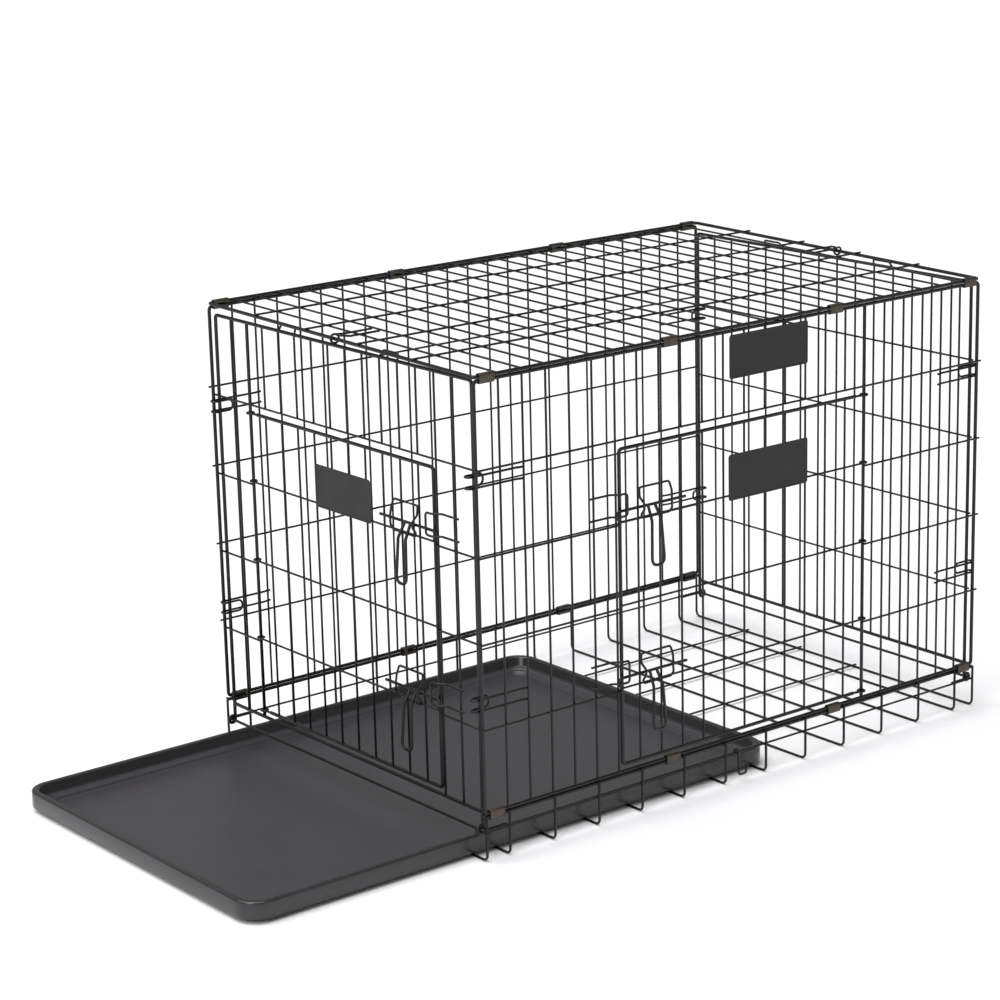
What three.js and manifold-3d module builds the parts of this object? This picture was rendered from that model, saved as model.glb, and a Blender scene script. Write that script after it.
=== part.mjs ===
// A folding wire dog crate with an end door, a side door and a slide-out tray.
// Millimetres, +Z up. The long side with the door faces -Y, the end with the door and the tray faces -X.
// Every panel is drawn flat as (u, v, w): u along it, v up it and w out of the crate, with the weld plane
// between its uprights and its rails at w = 0, and is then stood in its place.
import * as THREE from 'three';
import * as BufferGeometryUtils from 'three/addons/utils/BufferGeometryUtils.js';
import Module from 'manifold-3d';

const wasm = await Module();
wasm.setup();

// Driving dimensions: the grid
const longBays = 24;          // bays along the long side
const longBay = 38;           // pitch of the uprights on the long side
const endBays = 15;           // bays across the end
const crateWidth = 600;       // between the outer faces of the two long sides' uprights
const rowCount = 5;           // rows of rails in every standing panel
const rowHeight = 114;        // pitch of the rails
const frontRimHeight = 60;    // centre of the base's front rim wire above the floor
const backRimHeight = 70;     // the back rim stands higher, so that the folded panels nest
const pivotHeight = 42;       // centre of the wires that the end panels turn on

// Driving dimensions: the wires. A square bar stands for a round wire of the same area.
const frameBar = 4.3;         // frames, rims and posts: 4.8 mm wire
const gridBar = 2.5;          // grid: 2.8 mm wire
const baseBar = 3.2;          // U-bars under the base: 3.6 mm wire
const pivotWire = 4;          // diameter of the end panels' pivot wires
const hingeWire = 4.8;        // diameter of the upright that a door turns on
const latchWire = 4.2;        // diameter of a bolt and its handle
const loopWire = 3.2;         // diameter of guides, keepers and spring hooks
const frameProud = 0.2;       // the frame stands this much past the weld plane, into the rails welded on it
const cornerRadius = 8;       // outside bend of a panel's frame
const gap = 0.3;              // between touching pieces
const play = 0.9;             // round a wire that something turns on

// Driving dimensions: doors, latches, hooks and tray
const sideHingeBay = 18;      // the side door hangs on this upright
const sideLatchBay = 6;       // and closes on this one
const endHingeBay = 2;        // bays counted from the back on the left end
const endLatchBay = 13;
const doorClearance = 7;      // from the latch upright to the middle of the door's own post
const doorSill = 10;          // from the middle of a panel's bottom wire to the middle of its door's
const doorHead = 13;          // from the fourth rail down to the middle of the door's top wire
const doorRailLift = 4;       // the door's rails lie this much above the panel's, to pass them when open
const latchRows = [1, 3];     // a bolt lies above each of these rails
const boltLift = 20;          // above the panel's rail
const guideSetback = 57;      // from the door's post to the middle of the guide
const boltTip = 66;           // from the middle of the guide to the tip, and to the tail
const boltTail = 52;
const handleDrop = 80;
const handleWidth = 22;
const handleOffset = 8;       // the handle's middle lies this much nearer the tip than the guide's
const trayEndClearance = 17.5;  // from the middle of a corner upright to the end of the closed tray
const traySideClearance = 22;
const trayHeight = 24;
const trayOut = 370;          // how far the tray is pulled out at rest
const postInset = 11;         // from the long side's weld plane to the middle of an end panel's post

const longSpan = longBays * longBay;
const panelRise = rowCount * rowHeight;
const sideY = crateWidth / 2;
const endSpan = crateWidth - 2 * postInset;
const endBay = endSpan / endBays;
const stackPitch = frameBar + 0.9;              // between the middles of two wires that a clip holds
const frontFoot = frontRimHeight + stackPitch;  // middle of the front panel's bottom wire
const backFoot = backRimHeight + stackPitch;
const endFoot = frontFoot - 0.2;                // and an end panel's
const curlBore = hingeWire / 2 + play;
const hingeDepth = -hingeWire / 2 + frameProud; // w of the hinge upright's axis
const trayLength = longSpan - 2 * trayEndClearance;
const trayWidth = crateWidth - 2 * traySideClearance;

const wire = { color: 0x141414, roughness: 0.45, metalness: 0.3 };
const steel = { color: 0x5b564c, roughness: 0.5, metalness: 0.6 };
const plastic = { color: 0x4a484b, roughness: 0.5, metalness: 0 };

const crate = new THREE.Group();

// A mesh with only merged positions becomes a solid, and back again. Positions are rounded, so that faces
// drawn in one plane lie in exactly one plane and weld there.
function solid(geometry) {
  const bare = geometry.index ? geometry.toNonIndexed() : geometry.clone();
  const { array } = bare.attributes.position;
  for (let i = 0; i < array.length; i++) array[i] = Math.round(array[i] * 1e4) / 1e4;
  bare.deleteAttribute('normal');
  bare.deleteAttribute('uv');
  const merged = BufferGeometryUtils.mergeVertices(bare, 1e-4);
  return new wasm.Manifold(new wasm.Mesh({
    numProp: 3,
    vertProperties: new Float32Array(merged.attributes.position.array),
    triVerts: new Uint32Array(merged.index.array),
  }));
}

function geometryOf(manifold) {
  const { vertProperties, triVerts } = manifold.getMesh();
  const geometry = new THREE.BufferGeometry();
  geometry.setAttribute('position', new THREE.BufferAttribute(vertProperties, 3));
  geometry.setIndex(new THREE.BufferAttribute(triVerts, 1));
  return geometry;
}

const welded = (pieces) => wasm.Manifold.union(pieces);
const joined = (pieces) => geometryOf(welded(pieces));

// The part of a welded solid that lies inside a box.
const within = (whole, ...sides) => geometryOf(whole.intersect(solid(block(...sides))));

function addMesh(parent, name, geometry, finish) {
  const mesh = new THREE.Mesh(geometry, new THREE.MeshStandardMaterial(finish));
  mesh.name = name;
  parent.add(mesh);
  return mesh;
}

function block(u0, u1, v0, v1, w0, w1) {
  const geometry = new THREE.BoxGeometry(u1 - u0, v1 - v0, w1 - w0);
  return geometry.translate((u0 + u1) / 2, (v0 + v1) / 2, (w0 + w1) / 2);
}

// A path of straight runs between its own points, for sweeping a wire of constant section.
class WirePath extends THREE.Curve {
  constructor(points) {
    super();
    this.points = points;
  }

  getPoint(t) {
    const at = t * (this.points.length - 1);
    const i = Math.min(Math.floor(at), this.points.length - 2);
    return this.points[i].clone().lerp(this.points[i + 1], at - i);
  }

  getPointAt(t) { return this.getPoint(t); }

  getSpacedPoints() { return this.points.map((p) => p.clone()); }

  getTangentAt(t) {
    const i = Math.round(t * (this.points.length - 1));
    const before = this.points[Math.max(i - 1, 0)];
    const here = this.points[i];
    const after = this.points[Math.min(i + 1, this.points.length - 1)];
    const into = here.clone().sub(before).normalize();
    const out = after.clone().sub(here).normalize();
    return into.add(out).normalize();
  }
}

// Rounds each inner corner of a list of [x, y, z] points to a bend of the given radius.
function bent(corners, radius, steps = 2) {
  const points = corners.map((c) => new THREE.Vector3(...c));
  const path = [points[0]];
  for (let i = 1; i < points.length - 1; i++) {
    const back = points[i - 1].clone().sub(points[i]);
    const on = points[i + 1].clone().sub(points[i]);
    const half = back.angleTo(on) / 2;
    const reach = Math.min(radius / Math.tan(half), back.length() * 0.49, on.length() * 0.49);
    const start = points[i].clone().addScaledVector(back.normalize(), reach);
    const end = points[i].clone().addScaledVector(on.normalize(), reach);
    const bend = new THREE.QuadraticBezierCurve3(start, points[i], end);
    path.push(...bend.getPoints(steps));
  }
  path.push(points[points.length - 1]);
  return path;
}

function sweep(points, diameter, sides = 6) {
  const section = new THREE.Shape();
  for (let i = 0; i < sides; i++) {
    const angle = ((i + 0.5) / sides) * 2 * Math.PI;
    const radius = (diameter / 2) * 1.05;
    section[i ? 'lineTo' : 'moveTo'](radius * Math.cos(angle), radius * Math.sin(angle));
  }
  section.closePath();
  return new THREE.ExtrudeGeometry(section, { extrudePath: new WirePath(points), steps: points.length - 1 });
}

function roundedOutline(target, u0, u1, v0, v1, radius) {
  target.moveTo(u0 + radius, v0);
  target.lineTo(u1 - radius, v0);
  target.absarc(u1 - radius, v0 + radius, radius, -Math.PI / 2, 0, false);
  target.lineTo(u1, v1 - radius);
  target.absarc(u1 - radius, v1 - radius, radius, 0, Math.PI / 2, false);
  target.lineTo(u0 + radius, v1);
  target.absarc(u0 + radius, v1 - radius, radius, Math.PI / 2, Math.PI, false);
  target.lineTo(u0, v0 + radius);
  target.absarc(u0 + radius, v0 + radius, radius, Math.PI, 1.5 * Math.PI, false);
  return target;
}

// A frame of square bar round the given centre lines, standing slightly past the weld plane.
function frameRing(u0, u1, v0, v1, radius = cornerRadius) {
  const half = frameBar / 2;
  const outline = roundedOutline(new THREE.Shape(), u0 - half, u1 + half, v0 - half, v1 + half, radius);
  const inside = radius - frameBar;
  outline.holes.push(roundedOutline(new THREE.Path(), u0 + half, u1 - half, v0 + half, v1 - half, inside));
  const geometry = new THREE.ExtrudeGeometry(outline, { depth: frameBar, bevelEnabled: false, curveSegments: 2 });
  return solid(geometry.translate(0, 0, frameProud - frameBar));
}

const upright = (u, v0, v1) => solid(block(u - gridBar / 2, u + gridBar / 2, v0, v1, -gridBar, 0));
const rail = (v, u0, u1) => solid(block(u0, u1, v - gridBar / 2, v + gridBar / 2, 0, gridBar));
const railTip = frameBar / 2 + 3;   // a rail's tip passes the post that it is welded on

// The round upright that a door hangs on.
function hingeUpright(u, v0, v1) {
  const rod = new THREE.CylinderGeometry(hingeWire / 2, hingeWire / 2, v1 - v0, 8);
  rod.rotateY(Math.PI / 8);
  rod.scale(1 / Math.cos(Math.PI / 8), 1, 1 / Math.cos(Math.PI / 8));
  return solid(rod.translate(u, (v0 + v1) / 2, hingeDepth));
}

// A standing panel: frame, uprights, rails and, when asked for, a doorway.
function panelPieces(span, bays, rise, doorway, tip = railTip) {
  const left = -span / 2;
  const bay = span / bays;
  const pieces = [frameRing(left, -left, 0, rise)];
  const head = doorway ? (rowCount - 1) * rowHeight : 0;
  for (let i = 1; i < bays; i++) {
    const u = left + i * bay;
    if (doorway && i === doorway.hinge) pieces.push(hingeUpright(u, 0, rise));
    else if (doorway && i > doorway.from && i < doorway.to) pieces.push(upright(u, head - gridBar / 2, rise));
    else pieces.push(upright(u, 0, rise));
  }
  for (let row = 1; row < rowCount; row++) {
    const v = (row * rise) / rowCount;
    if (doorway && row < rowCount - 1) {
      pieces.push(rail(v, left - tip, left + doorway.from * bay + gridBar));
      pieces.push(rail(v, left + doorway.to * bay - gridBar, -left + tip));
    } else pieces.push(rail(v, left - tip, -left + tip));
  }
  return pieces;
}

// A wire's end curled round the hinge upright. facing is +1 where the door lies on the -u side of its hinge.
function curl(u, v, thickness, width, facing) {
  const outer = curlBore + width;
  const shape = new THREE.Shape();
  const start = facing > 0 ? 0.45 * Math.PI : 0.55 * Math.PI;
  const end = start + facing * 1.75 * Math.PI;
  shape.absarc(0, 0, outer, start, end, facing < 0);
  shape.absarc(0, 0, curlBore, end, start, facing > 0);
  shape.closePath();
  const geometry = new THREE.ExtrudeGeometry(shape, { depth: thickness, bevelEnabled: false, curveSegments: 6 });
  geometry.translate(0, 0, -thickness / 2).rotateX(Math.PI / 2);
  return solid(geometry.translate(u, v, hingeDepth));
}

// A door: a frame open on the hinge side, whose wires and rails end in curls round the hinge upright.
function door(hingeU, latchU, bay, insideBays) {
  const facing = Math.sign(hingeU - latchU);
  const head = (rowCount - 1) * rowHeight - doorHead;
  const past = facing * 60;
  const ends = [latchU, hingeU + past].sort((a, b) => a - b);
  const curlStart = hingeU - facing * (curlBore + 0.4);
  const beyond = [curlStart, hingeU + 2 * past].sort((a, b) => a - b);
  const ring = frameRing(ends[0], ends[1], doorSill, head)
    .subtract(solid(block(beyond[0], beyond[1], -20, head + 20, -20, 20)));
  const pieces = [ring];
  for (let i = 1; i <= insideBays; i++) pieces.push(upright(hingeU - facing * i * bay, doorSill, head));
  for (const v of [doorSill, head]) pieces.push(curl(hingeU, v, frameBar, gridBar, facing));
  for (let row = 1; row < rowCount - 1; row++) {
    const v = row * rowHeight + doorRailLift;
    const from = latchU - facing * railTip;
    const to = hingeU - facing * (curlBore - 0.4);
    pieces.push(rail(v, Math.min(from, to), Math.max(from, to)), curl(hingeU, v, gridBar, gridBar, facing));
  }
  return joined(pieces);
}

// Group in which (u, v, w) stands as a wall that faces the given way, with its foot at a height.
function wall(turn, outX, outY, foot) {
  const holder = new THREE.Group();
  holder.rotation.z = turn;
  holder.position.set(outX, outY, foot);
  const upended = new THREE.Group();
  upended.rotation.x = Math.PI / 2;
  holder.add(upended);
  crate.add(holder);
  return upended;
}

const endWall = longSpan / 2 - 2;   // weld plane of the end panels
const front = wall(0, 0, -sideY, frontFoot);
const back = wall(Math.PI, 0, sideY, backFoot);
const leftEnd = wall(-Math.PI / 2, -endWall, 0, endFoot);
const rightEnd = wall(Math.PI / 2, endWall, 0, endFoot);

// Front and back panels. The front one has a doorway.
const sideHingeU = -longSpan / 2 + sideHingeBay * longBay;
const sideLatchU = -longSpan / 2 + sideLatchBay * longBay + doorClearance;
const sideDoorway = { from: sideLatchBay, to: sideHingeBay, hinge: sideHingeBay };
const frontWires = welded(panelPieces(longSpan, longBays, panelRise, sideDoorway));
const beyond = crateWidth;                                           // past every edge of a panel
const doorwayStart = -longSpan / 2 + sideLatchBay * longBay + gridBar + gap;
const doorwayEnd = sideHingeU - gridBar - gap;
// It is cut, a gap apart, into flat pieces that leave its doorway open.
for (const [name, u0, u1, v0, v1] of [
  ['left', -beyond, doorwayStart - gap, -beyond, beyond],
  ['right', doorwayEnd + gap, beyond, -beyond, beyond],
  ['head', doorwayStart, doorwayEnd, rowHeight, beyond],
  ['sill', doorwayStart, doorwayEnd, -beyond, rowHeight],
]) addMesh(front, `front_panel_${name}`, within(frontWires, u0, u1, v0, v1, -beyond, beyond), wire);
addMesh(back, 'back_panel', joined(panelPieces(longSpan, longBays, panelRise)), wire);
const sideDoor = door(sideHingeU, sideLatchU, longBay, sideHingeBay - sideLatchBay - 1);
addMesh(front, 'side_door', sideDoor, wire);

// End panels: their posts run down to rings on the pivot wires.
const pivotDepth = pivotWire / 2 + play + frameProud;   // w of the pivot wire's axis

function postFoot(u) {
  const drop = endFoot - pivotHeight;
  const inner = pivotWire / 2 + play;
  const shape = new THREE.Shape();
  shape.absarc(0, 0, inner + frameBar, 0.95 * Math.PI, 2.75 * Math.PI, false);
  shape.absarc(0, 0, inner, 2.75 * Math.PI, 0.95 * Math.PI, true);
  shape.closePath();
  const ring = new THREE.ExtrudeGeometry(shape, { depth: frameBar - 0.4, bevelEnabled: false, curveSegments: 6 });
  ring.rotateY(-Math.PI / 2).translate(u + frameBar / 2 - 0.2, -drop, pivotDepth);
  const half = frameBar / 2 - 0.15;
  const post = block(u - half, u + half, -drop - 0.5, cornerRadius, frameProud - frameBar + 0.15, frameProud - 0.15);
  return [solid(ring), solid(post)];
}

// The panel is cut just above its bottom wire, so that the gap between its feet stays open to collision.
// The right one folds past the side door's curls, so its rails end close to its posts.
const footTop = cornerRadius + 2;
const cut = 0.3;

function endPanel(parent, name, doorway, tip) {
  const left = -endSpan / 2;
  const pieces = panelPieces(endSpan, endBays, panelRise, doorway, tip);
  const whole = welded([...pieces, ...postFoot(left), ...postFoot(-left)]);
  const foot = within(whole, -endSpan, endSpan, -frontFoot, footTop, -frontFoot, frontFoot);
  const panel = within(whole, -endSpan, endSpan, footTop + cut, 2 * panelRise, -frontFoot, frontFoot);
  addMesh(parent, `${name}_panel`, panel, wire);
  addMesh(parent, `${name}_foot`, foot, wire);
}

const endHingeU = -endSpan / 2 + endHingeBay * endBay;
const endLatchU = -endSpan / 2 + endLatchBay * endBay - doorClearance;
const endDoorway = { from: endHingeBay, to: endLatchBay, hinge: endHingeBay };
endPanel(leftEnd, 'left_end', endDoorway, railTip);
endPanel(rightEnd, 'right_end', null, frameBar / 2 + 0.4);
addMesh(leftEnd, 'end_door', door(endHingeU, endLatchU, endBay, endLatchBay - endHingeBay - 1), wire);

// Top panel: the same build, leaning a little because the back stands higher.
const topDepth = crateWidth - frameBar;
const top = new THREE.Group();
top.position.set(0, -topDepth / 2, frontFoot + panelRise + stackPitch);
top.rotation.x = Math.atan((backRimHeight - frontRimHeight) / topDepth);
crate.add(top);
const topPanel = addMesh(top, 'top_panel', joined(panelPieces(longSpan, longBays, topDepth)), wire);
topPanel.position.z = frameBar / 2 - frameProud;

// Base: U-bars under the floor and up both long sides, with floor, mid and rim wires inside them.
function baseU(x, bar) {
  const bend = 10;
  const tops = [frontRimHeight, backRimHeight].map((h) => h + frameBar / 2);
  const shape = new THREE.Shape();
  shape.moveTo(-sideY - bar, tops[0]);
  shape.lineTo(-sideY - bar, bend);
  shape.absarc(-sideY - bar + bend, bend, bend, Math.PI, 1.5 * Math.PI, false);
  shape.lineTo(sideY + bar - bend, 0);
  shape.absarc(sideY + bar - bend, bend, bend, 1.5 * Math.PI, 2 * Math.PI, false);
  shape.lineTo(sideY + bar, tops[1]);
  shape.lineTo(sideY, tops[1]);
  shape.lineTo(sideY, bend);
  shape.absarc(sideY + bar - bend, bend, bend - bar, 2 * Math.PI, 1.5 * Math.PI, true);
  shape.lineTo(-sideY - bar + bend, bar);
  shape.absarc(-sideY - bar + bend, bend, bend - bar, 1.5 * Math.PI, Math.PI, true);
  shape.lineTo(-sideY, tops[0]);
  shape.closePath();
  const geometry = new THREE.ExtrudeGeometry(shape, { depth: bar, bevelEnabled: false, curveSegments: 1 });
  geometry.translate(0, 0, -bar / 2);
  geometry.rotateX(Math.PI / 2).rotateZ(Math.PI / 2);
  return solid(geometry.translate(x, 0, 0));
}

const alongX = (x0, x1, y0, z0, bar) => solid(block(x0, x1, y0, y0 + bar, z0, z0 + bar));
const half = longSpan / 2;
const baseReach = half + baseBar / 2 + 1;
const basePieces = [baseU(-half, baseBar), baseU(half, baseBar)];
for (let i = 1; i < longBays; i += 2) basePieces.push(baseU(-half + i * longBay, baseBar));
for (let row = 1; row < rowCount; row++) {
  const y = -sideY + (row * crateWidth) / rowCount - gridBar / 2;
  basePieces.push(alongX(-baseReach, baseReach, y, baseBar, gridBar));
}
for (const [side, rim] of [[-1, frontRimHeight], [1, backRimHeight]]) {
  const inner = (bar) => (side < 0 ? -sideY : sideY - bar);
  basePieces.push(alongX(-baseReach, baseReach, inner(gridBar), pivotHeight - gridBar / 2, gridBar));
  basePieces.push(alongX(-baseReach, baseReach, inner(frameBar), rim - frameBar / 2, frameBar));
}
const base = welded(basePieces);
const floorEdge = sideY - 8;        // the base is cut here, a gap wide, into its floor and its two sides
addMesh(crate, 'base_floor', within(base, -beyond, beyond, -floorEdge, floorEdge, -beyond, beyond), wire);
addMesh(crate, 'base_front_side', within(base, -beyond, beyond, -beyond, -floorEdge - gap, -beyond, beyond), wire);
addMesh(crate, 'base_back_side', within(base, -beyond, beyond, floorEdge + gap, beyond, -beyond, beyond), wire);

// Pivot wires: across each end, and back along both long sides beside the mid wires.
const pivotX = endWall + pivotDepth;
const pivotSideY = sideY - gridBar - gap - pivotWire * 0.525;
for (const [name, side] of [['left_pivot_wire', -1], ['right_pivot_wire', 1]]) {
  const inward = side * (pivotX - longBay);
  addMesh(crate, name, sweep(bent([
    [inward, -pivotSideY, pivotHeight],
    [side * pivotX, -pivotSideY, pivotHeight],
    [side * pivotX, pivotSideY, pivotHeight],
    [inward, pivotSideY, pivotHeight],
  ], 6, 3), pivotWire, 8), wire);
}

// Sheet-steel clips that hold the long panels to the base and to the top, four along each edge.
const clipLength = 24;
const clipSheet = 1.2;
const clipBays = [0, 8, 16, 23];

function clip() {
  const halfWidth = frameBar / 2 + 0.6;
  const halfHeight = (stackPitch + frameBar) / 2 + 0.7;
  const wide = halfWidth + clipSheet;
  const tall = halfHeight + clipSheet;
  const lip = 1.5;
  const shape = new THREE.Shape();
  shape.moveTo(wide, lip);
  shape.lineTo(wide, tall - 1.5);
  shape.lineTo(wide - 1.5, tall);
  shape.lineTo(-wide, tall);
  shape.lineTo(-wide, -tall);
  shape.lineTo(wide - 1.5, -tall);
  shape.lineTo(wide, 1.5 - tall);
  shape.lineTo(wide, -lip);
  shape.lineTo(halfWidth, -lip);
  shape.lineTo(halfWidth, -halfHeight);
  shape.lineTo(-halfWidth, -halfHeight);
  shape.lineTo(-halfWidth, halfHeight);
  shape.lineTo(halfWidth, halfHeight);
  shape.lineTo(halfWidth, lip);
  shape.closePath();
  const band = new THREE.ExtrudeGeometry(shape, { depth: clipLength, bevelEnabled: false });
  return band.translate(0, 0, -clipLength / 2).rotateX(Math.PI / 2).rotateZ(Math.PI / 2);
}

const clipRows = [
  ['front_bottom', -1, (frontRimHeight + frontFoot) / 2],
  ['front_top', -1, frontFoot + panelRise + stackPitch / 2],
  ['back_bottom', 1, (backRimHeight + backFoot) / 2],
  ['back_top', 1, backFoot + panelRise + stackPitch / 2],
];
for (const [edge, side, z] of clipRows) {
  clipBays.forEach((bay, i) => {
    const mesh = addMesh(crate, `${edge}_clip_${i + 1}`, clip(), steel);
    mesh.rotation.z = side < 0 ? 0 : Math.PI;
    mesh.position.set(-half + (bay + 0.5) * longBay, side * (sideY - frameBar / 2 + frameProud / 2), z);
  });
}

// Spring hooks: two on each upright corner. Each is one wire that wraps round the end panel's post.
const hookPitch = 15;
const hookHeights = [['lower', 139], ['upper', 433]];   // of the lower run, above the panel's foot
const hookReach = half + 9;
const hookTurn = 5;                                     // half the width of its hairpins

function springHook() {
  const outer = loopWire * 0.525 + frameBar - frameProud + gap;   // from the weld plane inward, past the post
  const inner = outer + 2 * hookTurn;
  const run = (z) => {
    const points = [[half - 2 * longBay - 3, outer, z]];
    for (let i = 0; i <= 3; i++) {
      const angle = -Math.PI / 2 + (i / 3) * Math.PI;
      points.push([hookReach - hookTurn + hookTurn * Math.cos(angle),
        (outer + inner) / 2 + hookTurn * Math.sin(angle), z]);
    }
    return points.map((p) => new THREE.Vector3(...p));
  };
  const legEnd = half - 16;
  const loop = bent([[legEnd + 8, inner, 0], [legEnd, inner, 0], [legEnd, inner, hookPitch],
    [legEnd + 8, inner, hookPitch]], 5, 1);
  return sweep([...run(0), ...loop, ...run(hookPitch).reverse()], loopWire, 4);
}

for (const [length, lengthSide] of [['left', -1], ['right', 1]]) {
  for (const [depth, depthSide] of [['front', -1], ['back', 1]]) {
    for (const [level, height] of hookHeights) {
      const geometry = springHook();
      if (depthSide > 0) geometry.scale(1, -1, 1);
      if (lengthSide < 0) geometry.scale(-1, 1, 1);
      if (lengthSide * depthSide > 0) flipFaces(geometry);
      const mesh = addMesh(crate, `${length}_${depth}_${level}_hook`, geometry, wire);
      mesh.position.set(0, depthSide * sideY, endFoot + height);
    }
  }
}

// A mirrored mesh has its faces turned back outward.
function flipFaces(geometry) {
  const position = geometry.attributes.position;
  for (let i = 0; i < position.count; i += 3) {
    for (let k = 0; k < 3; k++) {
      const held = position.getComponent(i + 1, k);
      position.setComponent(i + 1, k, position.getComponent(i + 2, k));
      position.setComponent(i + 2, k, held);
    }
  }
}

// Slide bolts: a rod with a bent tip and its drop handle, the guide on the door and the keeper on the panel.
// tipward is +1 where the tip points along +u.
const boltDepth = gridBar + 0.8 + latchWire / 2;          // w of the rod's axis
const guideDepth = boltDepth + latchWire / 2 + 0.5 + loopWire / 2;
const keeperDepth = guideDepth + 1;

function boltRod(at) {
  return sweep(bent([at(-boltTail, 0, boltDepth), at(boltTip, 0, boltDepth), at(boltTip, -12, boltDepth + 1)],
    4, 2), latchWire, 6);
}

function boltHandle(at) {
  const near = handleOffset - handleWidth / 2;
  const far = handleOffset + handleWidth / 2;
  const below = -latchWire / 4;
  return sweep(bent([
    at(near, below, boltDepth),
    at(near, -20, boltDepth + 10),
    at(near, -handleDrop, boltDepth + 13),
    at(far, -handleDrop, boltDepth + 13),
    at(far, -20, boltDepth + 10),
    at(far, below, boltDepth),
  ], 9, 2), latchWire, 5);
}

function boltGuide(at) {
  const width = 28;
  const topBar = 25;
  const bottomBar = doorRailLift - boltLift;
  const onUpright = loopWire * 0.525 + gap;
  const onRail = gridBar + onUpright;
  const half = (s) => [at(Math.sign(s) * -3, topBar, onUpright), at(s * 0.8, topBar, onUpright),
    at(s, topBar * 0.7, onUpright + 1), at(s, 3, guideDepth), at(s, -3, guideDepth),
    at(s, bottomBar * 0.8, onRail + 1), at(s * 0.8, bottomBar, onRail), at(Math.sign(s) * -3, bottomBar, onRail)];
  return joined([half(width), half(-width)]
    .map((points) => solid(sweep(points.map((p) => new THREE.Vector3(...p)), loopWire, 4))));
}

function boltKeeper(at) {
  const root = 112;
  const onUpright = loopWire * 0.525 + gap;
  const upper = 24;
  const lower = -6;
  return sweep(bent([
    at(root, upper, onUpright), at(77, upper, onUpright), at(66, upper, keeperDepth),
    at(54, upper, keeperDepth), at(54, lower, keeperDepth),
    at(66, lower, keeperDepth), at(77, lower, onUpright), at(root, lower, onUpright),
  ], 4, 1), loopWire, 4);
}

function slideBolts(parent, name, latchU, tipward) {
  const centre = latchU - tipward * guideSetback;
  latchRows.forEach((row, i) => {
    const v = row * rowHeight + boltLift;
    const at = (s, dv, w) => [centre + tipward * s, v + dv, w];
    const level = ['lower', 'upper'][i];
    addMesh(parent, `${name}_${level}_bolt`, joined([solid(boltRod(at)), solid(boltHandle(at))]), wire);
    addMesh(parent, `${name}_${level}_guide`, boltGuide(at), wire);
    addMesh(parent, `${name}_${level}_keeper`, boltKeeper(at), wire);
  });
}

slideBolts(front, 'side_door', sideLatchU, -1);
slideBolts(leftEnd, 'end_door', endLatchU, 1);

// Blank plates: one on each door and one above the side door.
const plateSheet = 1.2;

function plate(parent, name, u0, u1, v0, v1) {
  const outline = roundedOutline(new THREE.Shape(), u0, u1, v0, v1, 3);
  const sheet = new THREE.ExtrudeGeometry(outline, { depth: plateSheet, bevelEnabled: false, curveSegments: 1 });
  addMesh(parent, name, sheet.translate(0, 0, gridBar + gap), wire);
}

const thirdRow = 3 * rowHeight;
plate(front, 'front_panel_plate', -31, 114, panelRise - 64, panelRise - 4);
plate(front, 'side_door_plate', -33, 114, thirdRow - 3, thirdRow + 61);
plate(leftEnd, 'end_door_plate', -53, 73, thirdRow, thirdRow + 60);

// Tray: a shallow moulded pan with a raised rim and a ledge inside it.
function tray() {
  const level = (inset, radius, z0, z1) => {
    const u = trayLength / 2 - inset;
    const v = trayWidth / 2 - inset;
    const outline = roundedOutline(new THREE.Shape(), -u, u, -v, v, radius);
    const slab = new THREE.ExtrudeGeometry(outline, { depth: z1 - z0, bevelEnabled: false, curveSegments: 4 });
    return solid(slab.translate(0, 0, z0));
  };
  const ledge = 9;
  const floor = 3;
  return geometryOf(level(0, 34, 0, trayHeight)
    .subtract(level(10, 26, ledge, trayHeight + 1))
    .subtract(level(26, 20, floor, trayHeight + 1)));
}

const trayMesh = addMesh(crate, 'tray', tray(), plastic);
trayMesh.position.set(-trayOut, 0, baseBar + gridBar + 0.5);

// Fold hooks: a wire hook on each end wire of the top, with a ring round it and two legs lying on the top.
const endWireRadius = frameBar / 2 * Math.SQRT2 + play;

function foldHook() {
  const turn = endWireRadius + loopWire * 0.55;
  const rest = frameBar / 2 + loopWire * 0.55 + gap;
  const coil = [];
  for (let i = 0; i <= 9; i++) {
    const angle = Math.PI / 2 + (i / 9) * 1.9 * Math.PI;
    coil.push([-turn * Math.cos(angle), -9 + (i / 9) * 5, turn * Math.sin(angle)]);
  }
  const points = [[-62, -9, rest], [-14, -9, rest], ...coil, [-3, 3, turn], [-14, 9, rest], [-62, 9, rest]];
  return sweep(bent(points, 2.5, 1), loopWire, 4);
}

for (const [name, side] of [['left_fold_hook', -1], ['right_fold_hook', 1]]) {
  const mesh = addMesh(top, name, foldHook(), wire);
  mesh.rotation.z = side < 0 ? Math.PI : 0;
  mesh.position.set(side * half, topDepth / 2 - 10, 0);
}

// Storage hook: it hangs from the base's front mid wire.
function storageHook() {
  const turn = gridBar / 2 * Math.SQRT2 + play + loopWire * 0.55;
  const coil = [];
  for (let i = 0; i <= 7; i++) {
    const angle = -0.35 * Math.PI + (i / 7) * 1.5 * Math.PI;
    coil.push([0, turn * Math.cos(angle), turn * Math.sin(angle)]);
  }
  const points = [...coil, [0, -turn, -10], [0, -turn, -32], [14, -turn, -32], [14, -turn, -20]];
  return sweep(bent(points, 4, 1), loopWire, 4);
}
const storage = addMesh(crate, 'storage_hook', storageHook(), wire);
storage.position.set(-half + 11.6 * longBay, -sideY + gridBar / 2, pivotHeight);

// The origin is under the middle of the whole part's box, on the floor.
crate.updateMatrixWorld(true);
const bounds = new THREE.Box3();
crate.traverse((object) => {
  if (object.isMesh) bounds.expandByObject(object, true);
});
const middle = bounds.getCenter(new THREE.Vector3());
const centred = new THREE.Group();
crate.position.set(-middle.x, -middle.y, -bounds.min.z);
centred.add(crate);

export default centred;
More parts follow.
